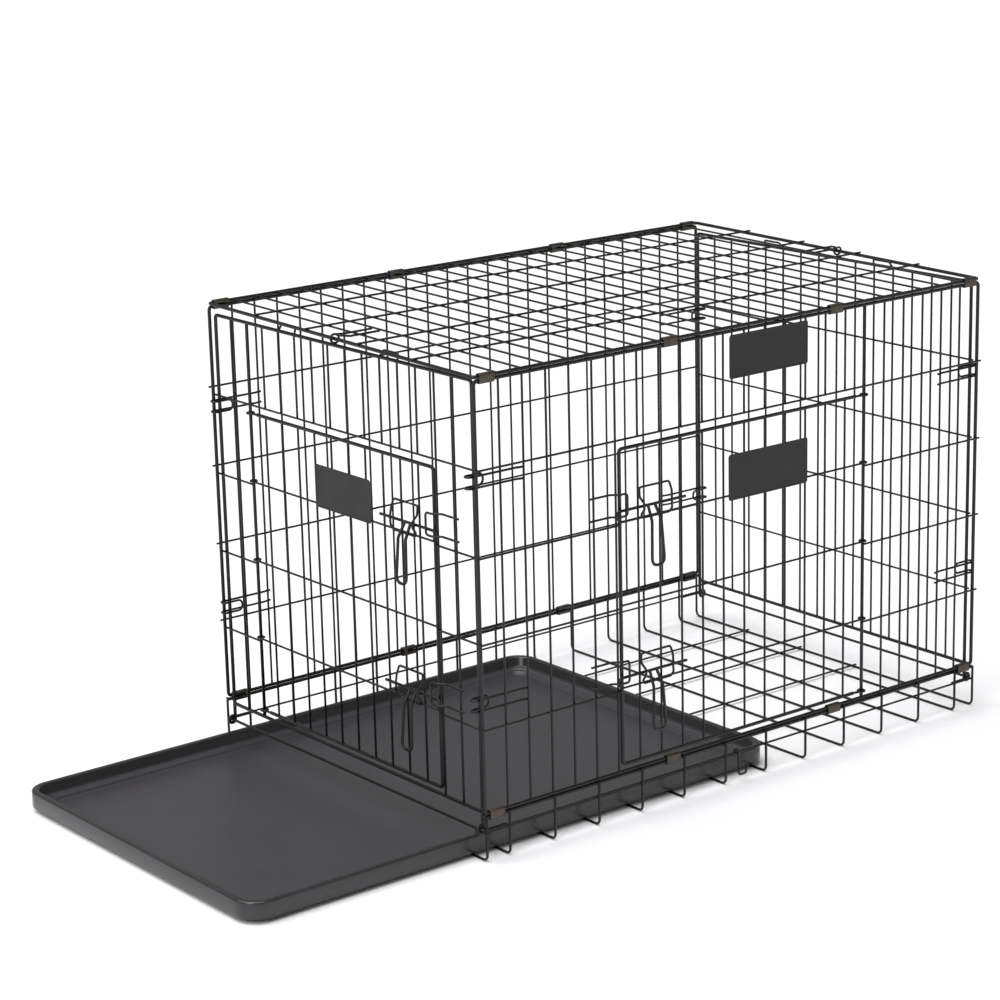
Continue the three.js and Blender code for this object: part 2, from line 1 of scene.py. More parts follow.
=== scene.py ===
import math

import bmesh
import bpy
from mathutils import Matrix, Vector


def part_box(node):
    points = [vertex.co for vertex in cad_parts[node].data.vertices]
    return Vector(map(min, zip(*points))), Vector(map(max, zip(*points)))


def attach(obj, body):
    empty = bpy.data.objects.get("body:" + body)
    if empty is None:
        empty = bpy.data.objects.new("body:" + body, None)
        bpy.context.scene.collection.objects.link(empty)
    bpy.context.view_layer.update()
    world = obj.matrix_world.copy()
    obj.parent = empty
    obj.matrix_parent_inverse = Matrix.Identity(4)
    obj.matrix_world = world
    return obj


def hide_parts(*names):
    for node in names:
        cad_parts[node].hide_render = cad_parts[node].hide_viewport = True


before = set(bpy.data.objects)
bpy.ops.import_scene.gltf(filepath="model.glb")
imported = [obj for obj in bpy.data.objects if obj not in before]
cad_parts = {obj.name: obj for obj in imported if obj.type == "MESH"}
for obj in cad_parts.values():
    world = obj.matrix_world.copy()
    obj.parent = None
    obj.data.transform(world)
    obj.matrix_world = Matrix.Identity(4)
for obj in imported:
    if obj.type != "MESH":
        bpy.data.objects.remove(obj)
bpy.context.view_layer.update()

# Electrocoated steel wire: cold-drawn mild steel, straightened, cut and spot welded where it crosses, then
# dipped and baked in a thin black coat. The coat is satin, a little brown where it is thin, and has a faint
# orange peel. Every wire of the crate is made here as a round tube along its own line.
MM = 0.001
GRID_WIRE, FRAME_WIRE = 3.1, 5.1     # 0.3 mm over the real wire, so that the coat reads
WIRE_SIDES = 8
COAT_BLACK = "#060505"
COAT_BROWN = "#100c0c"
COAT_BLOTCH = 30        # mm across a patch of thinner coat
COAT_PEEL = 2.5         # mm between the ripples of the peel, coarser than the real 1 mm so that it shows


def linear(hex_colour):
    """An sRGB hex value as the linear RGBA that a shader takes."""
    channels = [int(hex_colour[i:i + 2], 16) / 255 for i in (1, 3, 5)]
    return (*[c / 12.92 if c <= 0.04045 else ((c + 0.055) / 1.055) ** 2.4 for c in channels], 1)


def add_node(material, kind, values=None, links=None, **settings):
    """A shader node with its settings, its own input values and the outputs that feed it."""
    tree = material.node_tree
    node = tree.nodes.new(kind)
    for name, value in settings.items():
        setattr(node, name, value)
    for name, value in (values or {}).items():
        node.inputs[name].default_value = value
    for name, output in (links or {}).items():
        tree.links.new(output, node.inputs[name])
    return node


def new_material(name):
    """An empty node material with its output, and the coordinates of the piece in metres."""
    material = bpy.data.materials.new(name)
    material.use_nodes = True
    material.node_tree.nodes.clear()
    return material, add_node(material, "ShaderNodeTexCoord").outputs["Object"]


def finish_material(material, surface):
    add_node(material, "ShaderNodeOutputMaterial", links={"Surface": surface.outputs["BSDF"]})
    return material


def per_mm(size):
    """The texture scale whose features are this many millimetres across."""
    return 1 / (size * MM)


def electrocoat():
    material, place_on_wire = new_material("electrocoated_wire")
    blotch = add_node(material, "ShaderNodeTexNoise", {"Scale": per_mm(COAT_BLOTCH), "Detail": 4},
                      {"Vector": place_on_wire})
    tint = add_node(material, "ShaderNodeMix", data_type="RGBA", links={"Factor": blotch.outputs["Fac"]})
    tint.inputs[6].default_value = linear(COAT_BLACK)
    tint.inputs[7].default_value = linear(COAT_BROWN)
    gloss = add_node(material, "ShaderNodeMapRange", {"To Min": 0.3, "To Max": 0.5},
                     {"Value": blotch.outputs["Fac"]})
    peel = add_node(material, "ShaderNodeTexNoise", {"Scale": per_mm(COAT_PEEL), "Detail": 2},
                    {"Vector": place_on_wire})
    bump = add_node(material, "ShaderNodeBump", {"Strength": 0.25, "Distance": 0.05 * MM},
                    {"Height": peel.outputs["Fac"]})
    coat = add_node(material, "ShaderNodeBsdfPrincipled", {"IOR": 1.45},
                    {"Base Color": tint.outputs[2], "Roughness": gloss.outputs["Result"],
                     "Normal": bump.outputs["Normal"]})
    return finish_material(material, coat)


COATED_WIRE = electrocoat()


def rounded(corners, radius, steps=5):
    """The path through these points with each inner corner bent to this radius, all in metres."""
    path = [corners[0]]
    most = 0.49                     # of the shorter side, so that two bends never meet
    for before, corner, after in zip(corners, corners[1:], corners[2:]):
        into, out = before - corner, after - corner
        half_angle = into.angle(out) / 2
        reach = min(radius / math.tan(half_angle), into.length * most, out.length * most)
        bend_start = corner + into.normalized() * reach
        bend_end = corner + out.normalized() * reach
        for i in range(steps + 1):
            t = i / steps
            path.append(bend_start * (1 - t) ** 2 + corner * (2 * t * (1 - t)) + bend_end * t ** 2)
    return [*path, corners[-1]]


def ring_frame(tangent, normal):
    """The two directions across a wire, carried along from the last ring so that the wire doesn't twist."""
    normal = (normal - tangent * normal.dot(tangent)).normalized()
    return normal, tangent.cross(normal)


def add_wire(mesh, path, diameter, closed=False):
    """A round wire along the path, given in metres. An open wire ends in a cut with a dulled edge."""
    radius = diameter * MM / 2
    points, radii = list(path), [radius] * len(path)
    if not closed:
        first, last = (points[1] - points[0]).normalized(), (points[-1] - points[-2]).normalized()
        dulled, cut_radius = radius * 0.3, radius * 0.75
        points = [points[0], points[0] + first * dulled, *points[1:-1],
                  points[-1] - last * dulled, points[-1]]
        radii = [cut_radius, *radii, cut_radius]
    count = len(points)
    rings, normal = [], None
    for i, point in enumerate(points):
        before = points[i - 1] if closed or i else point
        after = points[(i + 1) % count] if closed or i < count - 1 else point
        tangent = ((point - before).normalized() + (after - point).normalized()).normalized()
        normal, across = ring_frame(tangent, normal or tangent.orthogonal())
        turns = [2 * math.pi * k / WIRE_SIDES for k in range(WIRE_SIDES)]
        rings.append([mesh.verts.new(point + (normal * math.cos(a) + across * math.sin(a)) * radii[i])
                      for a in turns])
    pairs = list(zip(rings, rings[1:])) + ([(rings[-1], rings[0])] if closed else [])
    for ring, following in pairs:
        for k in range(WIRE_SIDES):
            m = (k + 1) % WIRE_SIDES
            mesh.faces.new((ring[k], ring[m], following[m], following[k])).smooth = True
    if not closed:
        mesh.faces.new(rings[0][::-1])
        mesh.faces.new(rings[-1])


def make_piece(name, nodes, mesh, body, materials):
    """The bmesh as a piece that stands for some CAD nodes, moves with a body and takes the given materials.
    """
    data = bpy.data.meshes.new(name)
    mesh.to_mesh(data)
    mesh.free()
    for material in materials:
        data.materials.append(material)
    piece = bpy.data.objects.new(name, data)
    bpy.context.scene.collection.objects.link(piece)
    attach(piece, body)
    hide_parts(*nodes)
    return piece


def wire_piece(name, body, wires, nodes=None):
    """One piece of welded wire from (path, diameter) pairs, or (path, diameter, True) for a closed loop.

    It stands for the CAD node of the same name unless others are given."""
    mesh = bmesh.new()
    for wire in wires:
        add_wire(mesh, *wire)
    return make_piece(f"{name}_wire", nodes or [name], mesh, body, [COATED_WIRE])


# Panels: a bent frame of heavier wire with thinner uprights welded inside it and thin rails welded across
# its outside. Each is laid out as (along, up, out) in millimetres from the middle of its bottom wire and is
# stood in its place, with the weld plane between uprights and rails at out = 0.
LONG_BAYS, LONG_BAY = 24, 38
END_BAYS = 15
ROWS, ROW_HEIGHT = 5, 114
CRATE_WIDTH = 600
POST_INSET = 11
FRONT_RIM, BACK_RIM = 60, 70        # height of the base's rim wires
STACK = 5.2                         # between the two wires that a clip holds
LENGTH = LONG_BAYS * LONG_BAY
RISE = ROWS * ROW_HEIGHT
SIDE = CRATE_WIDTH / 2
END = LENGTH / 2 - 2                # weld plane of the end panels
END_LENGTH = CRATE_WIDTH - 2 * POST_INSET
END_BAY = END_LENGTH / END_BAYS
FRONT_FOOT, BACK_FOOT = FRONT_RIM + STACK, BACK_RIM + STACK
END_FOOT = FRONT_FOOT - 0.2
FRAME_OUT = -1.95                   # a frame wire's middle lies this far out of the weld plane
GRID_OUT = 1.25                     # a rail's middle, and an upright's on the other side
FRAME_BEND = 5.5
RAIL_TIP = 5.1                      # a rail's cut end passes the middle of the frame's post
base_low, base_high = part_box("base_floor")
crate_middle = (base_low + base_high) / 2


def place(x, y, z):
    """A point of the row frame from millimetres measured from under the middle of the crate."""
    return Vector((crate_middle.x + x * MM, crate_middle.y + y * MM, z * MM))


def front(along, up, out):
    return place(along, -SIDE - out, FRONT_FOOT + up)


def back(along, up, out):
    return place(-along, SIDE + out, BACK_FOOT + up)


def left_end(along, up, out):
    return place(-END - out, -along, END_FOOT + up)


def right_end(along, up, out):
    return place(END + out, along, END_FOOT + up)


def frame_loop(stand, left, right, bottom, top):
    corners = [(left, bottom), (right, bottom), (right, top), (left, top)]
    start = stand((left + right) / 2, bottom, FRAME_OUT)
    path = rounded([start, *[stand(a, u, FRAME_OUT) for a, u in corners[1:]],
                    stand(left, bottom, FRAME_OUT), start], FRAME_BEND * MM)
    return path[:-1], FRAME_WIRE, True


def upright(stand, along, bottom, top):
    return [stand(along, bottom, -GRID_OUT), stand(along, top, -GRID_OUT)], GRID_WIRE


def rail(stand, up, left, right):
    return [stand(left, up, GRID_OUT), stand(right, up, GRID_OUT)], GRID_WIRE


def panel_wires(stand, length, bays, rise, tip=RAIL_TIP):
    """A plain panel's frame, uprights and rails, which end past the middle of its posts."""
    bay, end = length / bays, length / 2
    wires = [frame_loop(stand, -end, end, 0, rise)]
    wires += [upright(stand, i * bay - end, 0, rise) for i in range(1, bays)]
    wires += [rail(stand, rise * row / ROWS, -end - tip, end + tip) for row in range(1, ROWS)]
    return wires


wire_piece("back_panel", "crate", panel_wires(back, LENGTH, LONG_BAYS, RISE))

# Front panel and left end panel: the same welded panel with a doorway left in the grid up to the fourth
# rail. On the doorway's hinge side one upright is of thick wire, which the door's own wires curl round.
HINGE_WIRE = 4.8
HINGE_OUT = -2.2
SIDE_HINGE_BAY, SIDE_LATCH_BAY = 18, 6
END_HINGE_BAY, END_LATCH_BAY = 2, 13
DOORWAY_TOP = (ROWS - 1) * ROW_HEIGHT


def doorway_wires(stand, length, bays, hinge_bay, first_bay, last_bay):
    """A panel's wires round a doorway that lies between two of its uprights."""
    bay, end = length / bays, length / 2
    wires = [frame_loop(stand, -end, end, 0, RISE)]
    for i in range(1, bays):
        along = i * bay - end
        if i == hinge_bay:
            wires.append(([stand(along, 0, HINGE_OUT), stand(along, RISE, HINGE_OUT)], HINGE_WIRE))
        else:
            wires.append(upright(stand, along, DOORWAY_TOP if first_bay < i < last_bay else 0, RISE))
    for row in range(1, ROWS):
        up = row * ROW_HEIGHT
        if row == ROWS - 1:
            wires.append(rail(stand, up, -end - RAIL_TIP, end + RAIL_TIP))
        else:
            wires.append(rail(stand, up, -end - RAIL_TIP, first_bay * bay - end + GRID_WIRE))
            wires.append(rail(stand, up, last_bay * bay - end - GRID_WIRE, end + RAIL_TIP))
    return wires


wire_piece("front_panel", "crate",
           doorway_wires(front, LENGTH, LONG_BAYS, SIDE_HINGE_BAY, SIDE_LATCH_BAY, SIDE_HINGE_BAY),
           [f"front_panel_{part}" for part in ("left", "right", "head", "sill")])

# End panels: they fold inward on the pivot wires, so their posts run on down below the frame and end in
# eyes round those wires. Two pairs of uprights loop up over the top wire to catch the top panel. The right
# one folds close past the curls of the side door, so its rails are cut shorter.
PIVOT_WIRE = 4
PIVOT_HEIGHT = 42
EYE_RADIUS = 5.05                   # of the middle of the wire bent round the pivot wire
PIVOT_OUT = FRAME_OUT + EYE_RADIUS
SHORT_RAIL_TIP = 3
TAB_BAYS = (4, 10)
TAB_RISE = RISE + 8.9
TAB_LEAN = 6.5
TAB_INSET = 3
TAB_BEND = 4
TAB_ROOT = 1                        # a tab springs from this far under the top wire
EYE_TURN, EYE_STEPS = 1.75, 14      # half turns of wire round the pivot wire


def post_foot(stand, along):
    """A post below the frame's corner and the eye that it ends in."""
    drop = END_FOOT - PIVOT_HEIGHT
    eye = []
    for i in range(EYE_STEPS + 1):
        turn = math.pi * (1 + EYE_TURN * i / EYE_STEPS)
        eye.append(stand(along, EYE_RADIUS * math.sin(turn) - drop, PIVOT_OUT + EYE_RADIUS * math.cos(turn)))
    return [stand(along, FRAME_BEND + 2, FRAME_OUT), *eye], FRAME_WIRE


def top_tab(stand, left, right):
    root, root_out = RISE - TAB_ROOT, -1.85
    corners = [stand(left, root, root_out), stand(left + TAB_INSET, TAB_RISE, -TAB_LEAN),
               stand(right - TAB_INSET, TAB_RISE, -TAB_LEAN), stand(right, root, root_out)]
    return rounded(corners, TAB_BEND * MM), GRID_WIRE


def end_fittings(stand):
    end = END_LENGTH / 2
    tabs = [top_tab(stand, i * END_BAY - end, (i + 1) * END_BAY - end) for i in TAB_BAYS]
    return [*tabs, post_foot(stand, -end), post_foot(stand, end)]


left_wires = doorway_wires(left_end, END_LENGTH, END_BAYS, END_HINGE_BAY, END_HINGE_BAY, END_LATCH_BAY)
wire_piece("left_end_panel", "left_end", left_wires + end_fittings(left_end),
           ["left_end_panel", "left_end_foot"])
wire_piece("right_end_panel", "right_end",
           panel_wires(right_end, END_LENGTH, END_BAYS, RISE, SHORT_RAIL_TIP) + end_fittings(right_end),
           ["right_end_panel", "right_end_foot"])

# Top panel: a welded panel that lies on the two long ones and leans forward, because the back stands higher.
TOP_DEPTH = CRATE_WIDTH - 4.3
TOP_FRONT = FRONT_FOOT + RISE + STACK
TOP_LEAN = math.atan((BACK_RIM - FRONT_RIM) / TOP_DEPTH)
FRAME_TO_TOP = -FRAME_OUT


def on_top(x, y, z):
    """A point on the leaning top, from the middle of its front frame wire."""
    lean = Matrix.Rotation(TOP_LEAN, 3, "X") @ Vector((x, y, z))
    return place(lean.x, lean.y - TOP_DEPTH / 2, lean.z + TOP_FRONT)


def top_panel(along, up, out):
    return on_top(along, up, out + FRAME_TO_TOP)


wire_piece("top_panel", "crate", panel_wires(top_panel, LENGTH, LONG_BAYS, TOP_DEPTH))

# Doors: a bent frame, open towards the hinge, with its own uprights and rails. Its two frame ends and its
# three rails are hammered a little thinner and curled round the hinge upright, which is all the hinge there
# is.
DOOR_SILL, DOOR_HEAD = 10, DOORWAY_TOP - 13
DOOR_CLEARANCE = 7
DOOR_RAIL_LIFT = 4
CURL_GAP = 0.5
CURL_STEPS = 12
FRAME_CURL, RAIL_CURL = (-45, 235), (-25, 250)      # degrees of turn, from the outer side
CURL_WIRE = 3.6                     # a frame end where it is hammered thin
NECK, NECK_LAP, NECK_BEND = 16, 2, 9                # of that thin stretch, from the hinge
RAIL_BEND = 8


def curl(stand, hinge, facing, up, wire, turns):
    """Points round the hinge upright, from the outer side and back behind it."""
    radius = HINGE_WIRE / 2 + CURL_GAP + wire / 2
    first, last = turns
    angles = [math.radians(first + (last - first) * i / CURL_STEPS) for i in range(CURL_STEPS + 1)]
    return [stand(hinge + facing * radius * math.sin(a), up, HINGE_OUT + radius * math.cos(a))
            for a in angles]


def door_wires(stand, hinge, latch, bay, inner_bays):
    """A door's frame, its thin curled ends, its uprights and its curled rails."""
    facing = 1 if hinge > latch else -1
    neck = hinge - facing * NECK
    bend = rounded([stand(neck, DOOR_SILL, FRAME_OUT), stand(latch, DOOR_SILL, FRAME_OUT),
                    stand(latch, DOOR_HEAD, FRAME_OUT), stand(neck, DOOR_HEAD, FRAME_OUT)], FRAME_BEND * MM)
    wires = [(bend, FRAME_WIRE)]
    for up in (DOOR_SILL, DOOR_HEAD):
        eye = curl(stand, hinge, facing, up, CURL_WIRE, FRAME_CURL)
        lap = [stand(neck - facing * NECK_LAP, up, FRAME_OUT), stand(hinge - facing * NECK_BEND, up, -1)]
        wires.append((lap + eye, CURL_WIRE))
    wires += [upright(stand, hinge - facing * i * bay, DOOR_SILL, DOOR_HEAD)
              for i in range(1, inner_bays + 1)]
    for row in range(1, ROWS - 1):
        up = row * ROW_HEIGHT + DOOR_RAIL_LIFT
        eye = curl(stand, hinge, facing, up, GRID_WIRE, RAIL_CURL)
        straight = [stand(latch - facing * RAIL_TIP, up, GRID_OUT),
                    stand(hinge - facing * RAIL_BEND, up, GRID_OUT)]
        wires.append((straight + eye, GRID_WIRE))
    return wires


side_hinge = SIDE_HINGE_BAY * LONG_BAY - LENGTH / 2
side_latch = SIDE_LATCH_BAY * LONG_BAY - LENGTH / 2 + DOOR_CLEARANCE
end_hinge = END_HINGE_BAY * END_BAY - END_LENGTH / 2
end_latch = END_LATCH_BAY * END_BAY - END_LENGTH / 2 - DOOR_CLEARANCE
wire_piece("side_door", "side_door",
           door_wires(front, side_hinge, side_latch, LONG_BAY, SIDE_HINGE_BAY - SIDE_LATCH_BAY - 1))
wire_piece("end_door", "end_door",
           door_wires(left_end, end_hinge, end_latch, END_BAY, END_LATCH_BAY - END_HINGE_BAY - 1))

# Slide bolts: a thick wire rod with a turned-down tip, a long drop handle welded under it, a looped guide
# welded to the door and a looped keeper welded to the panel. Each door has two, above its first and third
# rail.
LATCH_WIRE = 4.2
LOOP_WIRE = 3.2
LATCH_ROWS = {"lower": 1, "upper": 3}
BOLT_LIFT = 20
GUIDE_SETBACK = 57
BOLT_OUT = 5.4                      # of the rod's middle from the weld plane
GUIDE_OUT = 9.6
KEEPER_OUT = GUIDE_OUT + 1
WELDED_OUT = 1.75                   # of a loop's middle where it is welded on the uprights
BOLT_TIP, BOLT_TAIL = 66, 52
HANDLE_DROP, HANDLE_NEAR, HANDLE_FAR = 80, -3, 19
TIP_DROP, TIP_BEND = 12, 4
HANDLE_OUT, HANDLE_SHOULDER, HANDLE_BEND = 13, 20, 10.5
GUIDE_HALF_WIDTH = 28
GUIDE_WAIST = 4                     # how far its sides pinch in where the rod runs through
GUIDE_TOP, GUIDE_FOOT, GUIDE_BEND = 25, -16, 4
KEEPER_TOP, KEEPER_FOOT, KEEPER_BEND = 24, -6, 5
KEEPER_END, KEEPER_KNEE, KEEPER_SHIN, KEEPER_NOSE = 112, 77, 66, 54     # from the middle of the guide


def slide_bolt(stand, door, panel_body, level, latch, tipward):
    """A bolt with its guide on the door and its keeper on the panel. tipward is +1 where the tip is at +."""
    name = f"{door}_{level}"
    middle = latch - tipward * GUIDE_SETBACK
    height = LATCH_ROWS[level] * ROW_HEIGHT + BOLT_LIFT

    def at(along, up, out):
        return stand(middle + tipward * along, height + up, out)

    rod = [at(-BOLT_TAIL, 0, BOLT_OUT), at(BOLT_TIP, 0, BOLT_OUT), at(BOLT_TIP, -TIP_DROP, BOLT_OUT + 1)]
    root, bottom = BOLT_OUT, BOLT_OUT + HANDLE_OUT
    handle = [at(HANDLE_NEAR + 5, -1, root), at(HANDLE_NEAR + 3, -HANDLE_SHOULDER, BOLT_OUT + 10),
              at(HANDLE_NEAR, -HANDLE_DROP, bottom), at(HANDLE_FAR, -HANDLE_DROP, bottom),
              at(HANDLE_FAR - 3, -HANDLE_SHOULDER, BOLT_OUT + 10), at(HANDLE_FAR - 5, -1, root)]
    wire_piece(f"{name}_bolt", f"{name}_bolt",
               [(rounded(rod, TIP_BEND * MM), LATCH_WIRE),
                (rounded(handle, HANDLE_BEND * MM, 8), LATCH_WIRE)])

    on_rail = GRID_WIRE + WELDED_OUT
    wide, waist = GUIDE_HALF_WIDTH, GUIDE_HALF_WIDTH - GUIDE_WAIST
    half = [(3, GUIDE_TOP, WELDED_OUT), (wide - 2, GUIDE_TOP, WELDED_OUT), (wide, 13, WELDED_OUT + 3),
            (waist, 4, GUIDE_OUT), (waist, -4, GUIDE_OUT),
            (wide - 1, -10, on_rail + 2), (waist, GUIDE_FOOT, on_rail), (3, GUIDE_FOOT, on_rail)]
    loop = [at(*p) for p in half] + [at(-a, up, out) for a, up, out in half[::-1]]
    seam = (loop[0] + loop[-1]) / 2
    guide = rounded([seam, *loop, seam], GUIDE_BEND * MM, 3)[:-1]
    wire_piece(f"{name}_guide", door, [(guide, LOOP_WIRE, True)])

    arm = [(KEEPER_END, WELDED_OUT), (KEEPER_KNEE, WELDED_OUT),
           (KEEPER_SHIN, KEEPER_OUT), (KEEPER_NOSE, KEEPER_OUT)]
    keeper = [at(a, KEEPER_TOP, out) for a, out in arm] + [at(a, KEEPER_FOOT, out) for a, out in arm[::-1]]
    wire_piece(f"{name}_keeper", panel_body, [(rounded(keeper, KEEPER_BEND * MM), LOOP_WIRE)])


for level in LATCH_ROWS:
    slide_bolt(front, "side_door", "crate", level, side_latch, -1)
    slide_bolt(left_end, "end_door", "left_end", level, end_latch, 1)

# Base: an open tray of U-shaped wires that turn up both long sides, with wires along the floor, a wire half
# way up each side and a frame wire along each rim, all welded. The end panels turn on two thick wires
# that cross its ends and run a bay back inside both sides.
BASE_WIRE = 3.6
BASE_OUT = 1.6                      # of a U-wire's middle, outside the crate's width
BASE_BEND = 9
U_END = 2                           # a U-wire's cut end stands this much over the middle of the rim wire
RIM_IN = 2.15                       # of a rim wire's middle, inside the crate's width
WELD_BITE = 0.3                     # how deep crossing wires sink into each other where they are welded
WIRE_END = 3                        # a lengthways wire passes the last upright by this much
base_wires = []
for i in (0, *range(1, LONG_BAYS, 2), LONG_BAYS):
    x = i * LONG_BAY - LENGTH / 2
    u_bar = [place(x, -SIDE - BASE_OUT, FRONT_RIM + U_END), place(x, -SIDE - BASE_OUT, BASE_WIRE / 2),
             place(x, SIDE + BASE_OUT, BASE_WIRE / 2), place(x, SIDE + BASE_OUT, BACK_RIM + U_END)]
    base_wires.append((rounded(u_bar, BASE_BEND * MM), BASE_WIRE))


def lengthways(y, z, reach, diameter):
    return [place(-reach, y, z), place(reach, y, z)], diameter


for row in range(1, ROWS):
    y = CRATE_WIDTH * row / ROWS - SIDE
    base_wires.append(lengthways(y, BASE_WIRE + GRID_WIRE / 2 - WELD_BITE, LENGTH / 2 + WIRE_END, GRID_WIRE))
for side, rim in ((-1, FRONT_RIM), (1, BACK_RIM)):
    base_wires.append(lengthways(side * (SIDE - GRID_OUT), PIVOT_HEIGHT, LENGTH / 2 + WIRE_END, GRID_WIRE))
    base_wires.append(lengthways(side * (SIDE - RIM_IN), rim, LENGTH / 2 + WIRE_END, FRAME_WIRE))
wire_piece("base", "crate", base_wires, ["base_floor", "base_front_side", "base_back_side"])

PIVOT_IN, PIVOT_BEND = 4.9, 6
pivot_x, pivot_y = END + PIVOT_OUT, SIDE - PIVOT_IN
for name, side in (("left_pivot_wire", -1), ("right_pivot_wire", 1)):
    inner_x = side * (pivot_x - LONG_BAY)
    corners = [place(inner_x, -pivot_y, PIVOT_HEIGHT), place(side * pivot_x, -pivot_y, PIVOT_HEIGHT),
               place(side * pivot_x, pivot_y, PIVOT_HEIGHT), place(inner_x, pivot_y, PIVOT_HEIGHT)]
    wire_piece(name, "crate", [(rounded(corners, PIVOT_BEND * MM), PIVOT_WIRE)])

# Spring hooks: each is one length of spring wire, welded to an upright of the long panel. It runs out past
# the corner, turns back round the end panel's post and loops over to do the same again 15 mm higher.
HOOK_PITCH = 15
HOOK_HEIGHTS = {"lower": 139, "upper": 433}
HOOK_RUN, HOOK_TURN = 6.08, 5       # depth of the outer run, and half the width of its turn
HOOK_REACH = LENGTH / 2 + 9
HOOK_LEG_END = LENGTH / 2 - 16
HOOK_ROOT = LENGTH / 2 - 2 * LONG_BAY
HOOK_WELD = 4.3                     # depth of the end that is welded on the upright
HOOK_BOW = 6                        # how far the wire bows inward between its two runs


def spring_hook_path():
    """(distance from the middle, depth inside the panel, height) of the hook's wire."""
    def run(z):
        turn = [(HOOK_REACH - HOOK_TURN + HOOK_TURN * math.cos(a),
                 HOOK_RUN + HOOK_TURN * (1 + math.sin(a)), z)
                for a in (math.radians(d) for d in range(-90, 91, 20))]
        return [(HOOK_ROOT - 2, HOOK_WELD, z), (HOOK_ROOT + 3, HOOK_WELD, z), (HOOK_ROOT + 8, HOOK_RUN, z),
                *turn]

    inner = HOOK_RUN + 2 * HOOK_TURN
    low, high = run(0), run(HOOK_PITCH)
    bow = [(HOOK_LEG_END + HOOK_BOW * math.cos(a), inner, HOOK_PITCH / 2 - HOOK_PITCH / 2 * math.sin(a))
           for a in (math.radians(d) for d in range(90, 271, 20))]
    return [*low, *bow, *high[::-1]]


for length_name, length_side in (("left", -1), ("right", 1)):
    for depth_name, depth_side in (("front", -1), ("back", 1)):
        for level, height in HOOK_HEIGHTS.items():
            path = [place(length_side * x, depth_side * (SIDE - depth), END_FOOT + height + z)
                    for x, depth, z in spring_hook_path()]
            wire_piece(f"{length_name}_{depth_name}_{level}_hook", "crate", [(path, LOOP_WIRE)])

# Fold hooks: a wire hook in the middle of each end of the top, which holds the folded crate shut. Its ring
# turns round the end wire and its two legs lie on the top. The storage hook hangs from the base's front.
FRAME_BAR, GRID_BAR = 4.3, 2.5      # the square bars of the CAD, which a ring clears at their corners
RING_PLAY = 0.9
HALF_LOOP_WIRE = LOOP_WIRE * 0.55
FOLD_RING = FRAME_BAR / 2 * math.sqrt(2) + RING_PLAY + HALF_LOOP_WIRE
LEG_REST = FRAME_BAR / 2 + HALF_LOOP_WIRE + 0.3
LEG_LENGTH, LEG_BEND, LEG_SPREAD = 62, 14, 9
COIL_TURN, COIL_STEPS, COIL_PITCH = 1.9, 24, 5      # half turns of the ring, and its advance
for name, side in (("left_fold_hook", -1), ("right_fold_hook", 1)):
    coil = []
    for i in range(COIL_STEPS + 1):
        turn = math.pi * (0.5 + COIL_TURN * i / COIL_STEPS)
        coil.append((-FOLD_RING * math.cos(turn), -LEG_SPREAD + COIL_PITCH * i / COIL_STEPS,
                     FOLD_RING * math.sin(turn)))
    line = [(-LEG_LENGTH, -LEG_SPREAD, LEG_REST), (-LEG_BEND, -LEG_SPREAD, LEG_REST), *coil,
            (-3, 3, FOLD_RING), (-LEG_BEND, LEG_SPREAD, LEG_REST), (-LEG_LENGTH, LEG_SPREAD, LEG_REST)]
    points = [on_top(side * (LENGTH / 2 + x), TOP_DEPTH / 2 - 10 + side * y, z) for x, y, z in line]
    wire_piece(name, name, [(rounded(points, 2 * MM, 2), LOOP_WIRE)])

STORAGE_RING = GRID_BAR / 2 * math.sqrt(2) + RING_PLAY + HALF_LOOP_WIRE
STORAGE_BAY = 11.6
hang = [(0, STORAGE_RING * math.cos(a), STORAGE_RING * math.sin(a))
        for a in (math.pi * (-0.35 + 1.5 * i / 14) for i in range(15))]
hang += [(0, -STORAGE_RING, -10), (0, -STORAGE_RING, -32), (14, -STORAGE_RING, -32), (14, -STORAGE_RING, -20)]
storage_x = STORAGE_BAY * LONG_BAY - LENGTH / 2
points = [place(storage_x + x, y - SIDE + GRID_OUT, z + PIVOT_HEIGHT) for x, y, z in hang]
wire_piece("storage_hook", "crate", [(rounded(points, 4 * MM, 3), LOOP_WIRE)])

# Edge clips: strips of zinc-plated sheet steel bent into a C round the two wires that they hold together,
# with the slot on the inside. The plating is aged to a dull brown grey, with a soft spangle.
CLIP_SHEET = 1.2
CLIP_LENGTH = 24
CLIP_BAYS = (0, 8, 16, 23)
CLIP_IN = 2.05                      # of a clip's middle, inside the crate's width
ZINC_LIGHT, ZINC_DARK = "#5f574c", "#37312b"
ZINC_SPANGLE = 5


